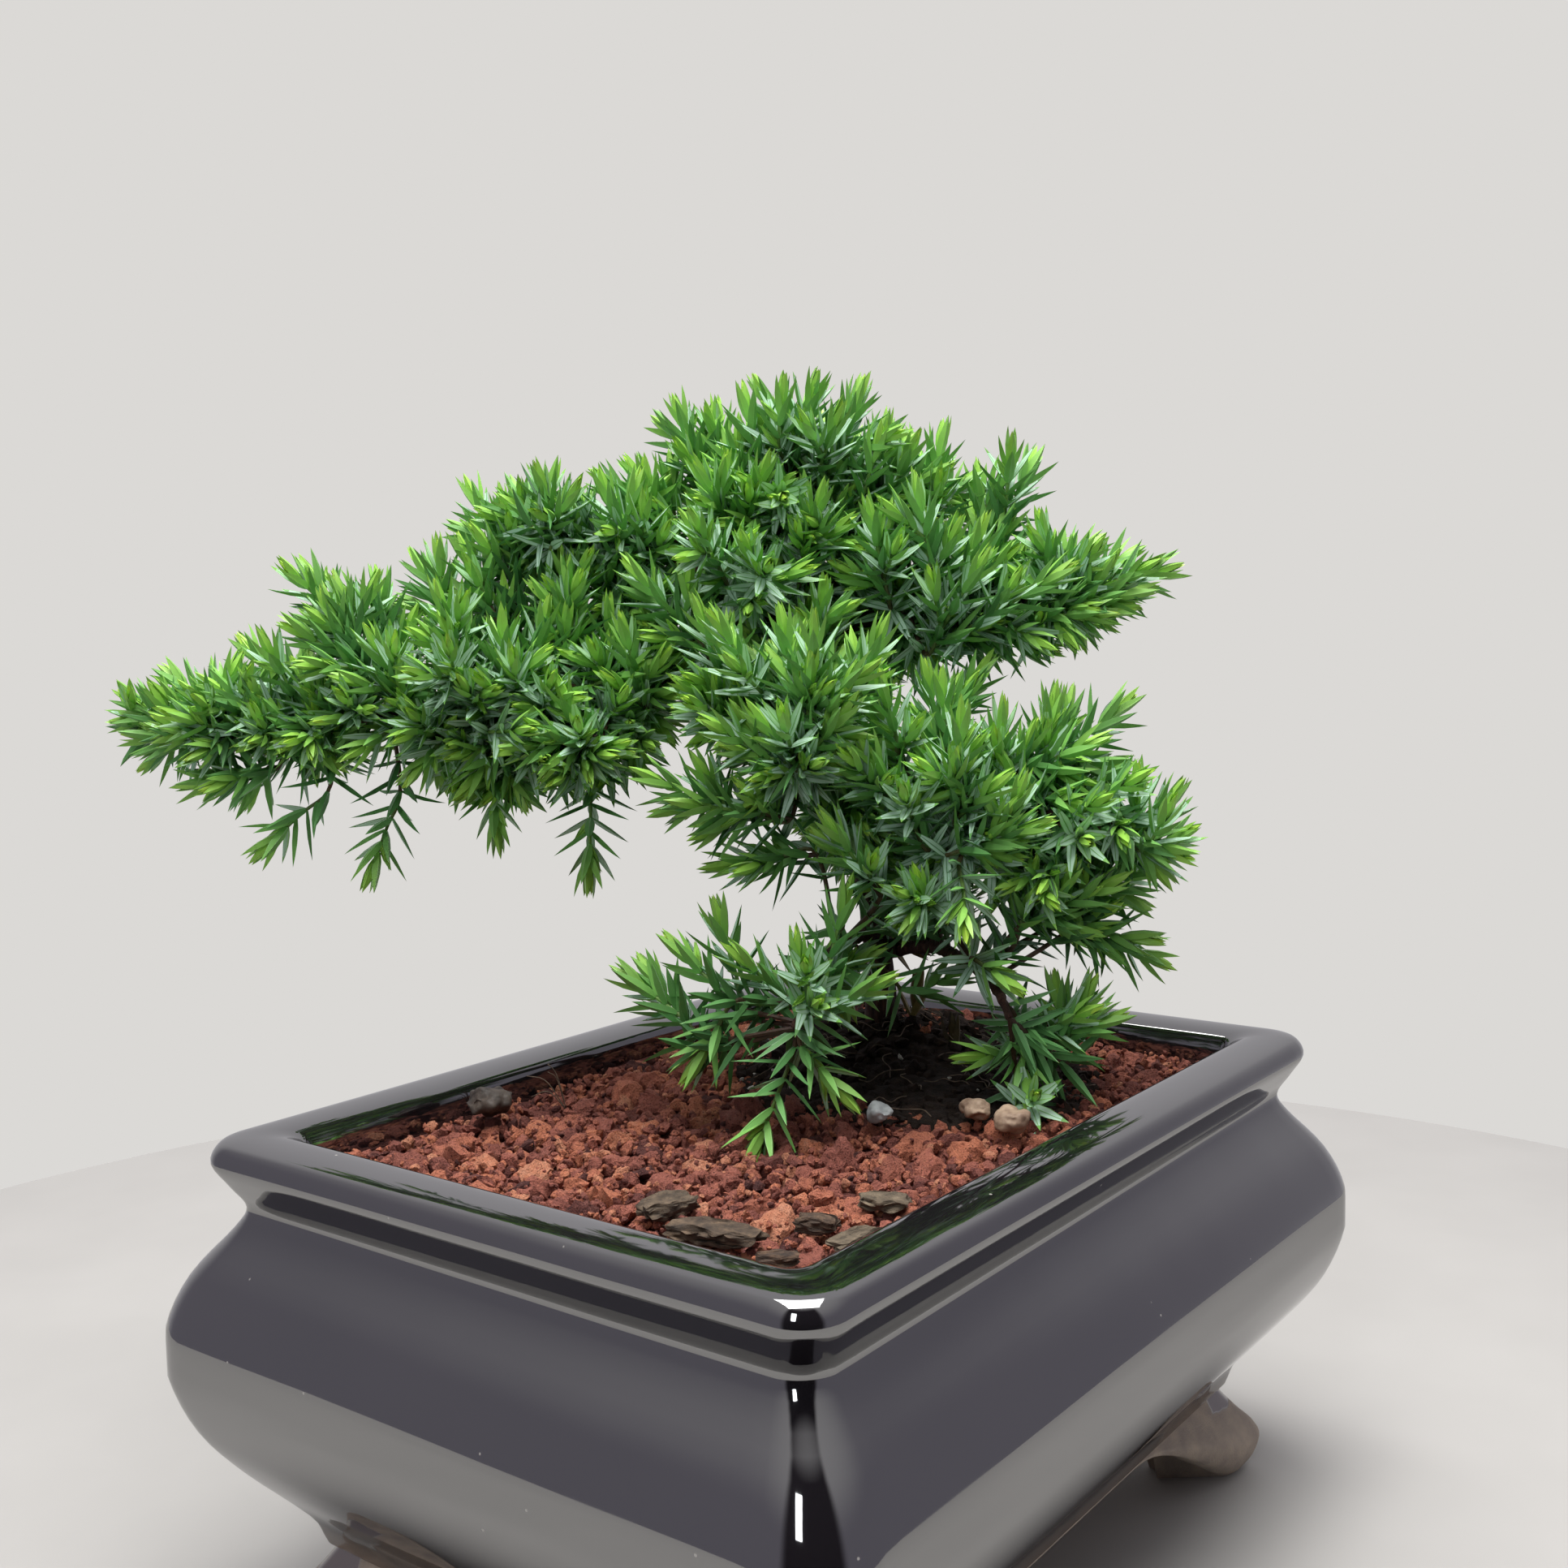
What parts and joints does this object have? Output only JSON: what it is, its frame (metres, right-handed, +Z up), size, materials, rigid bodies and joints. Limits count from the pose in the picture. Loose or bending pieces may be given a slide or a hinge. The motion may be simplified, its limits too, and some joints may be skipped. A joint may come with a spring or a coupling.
{
  "type": "bonsai tree in a pot",
  "caption": "Small juniper bonsai with needle foliage on a leaning trunk, set in lava grit in a glazed rectangular pot with a bellied wall and corner feet.",
  "frame": {"origin": "middle of the whole object's box at the level of the feet's undersides, where it stands", "axes": "+Z up, +X along the pot's long side; the tree's long low branch leans out over the +Y side"},
  "size_m": [0.1648, 0.1704, 0.1966],
  "materials": {
    "glaze": "gloss",
    "lava": "matte",
    "soil": "matte",
    "bark": "matte",
    "needles": "satin",
    "bark_chip": "matte",
    "pale_stone": "matte",
    "grey_stone": "matte",
    "drain_mesh": "matte",
    "clip_wire": "satin"
  },
  "bodies": {
    "root": {"pot": "glaze", "lava_grit": "lava", "root_ball": "soil", "drain_mesh_left": "drain_mesh", "drain_mesh_right": "drain_mesh", "mesh_clip_left": "clip_wire", "mesh_clip_right": "clip_wire", "bark_chip_1": "bark_chip", "bark_chip_2": "bark_chip", "bark_chip_3": "bark_chip", "bark_chip_4": "bark_chip", "bark_chip_5": "bark_chip", "bark_chip_6": "bark_chip", "grey_pebble": "grey_stone", "tan_pebble_1": "pale_stone", "tan_pebble_2": "pale_stone", "dark_stone": "bark_chip", "trunk": "bark", "foliage_wing_tip": "needles", "foliage_wing_middle": "needles", "foliage_shoulder": "needles", "foliage_crown": "needles", "foliage_right_arm": "needles", "foliage_front": "needles", "foliage_skirt": "needles", "foliage_low_left": "needles", "foliage_low_right": "needles", "foliage_back": "needles", "foliage_back_skirt": "needles"}
  },
  "joints": []
}
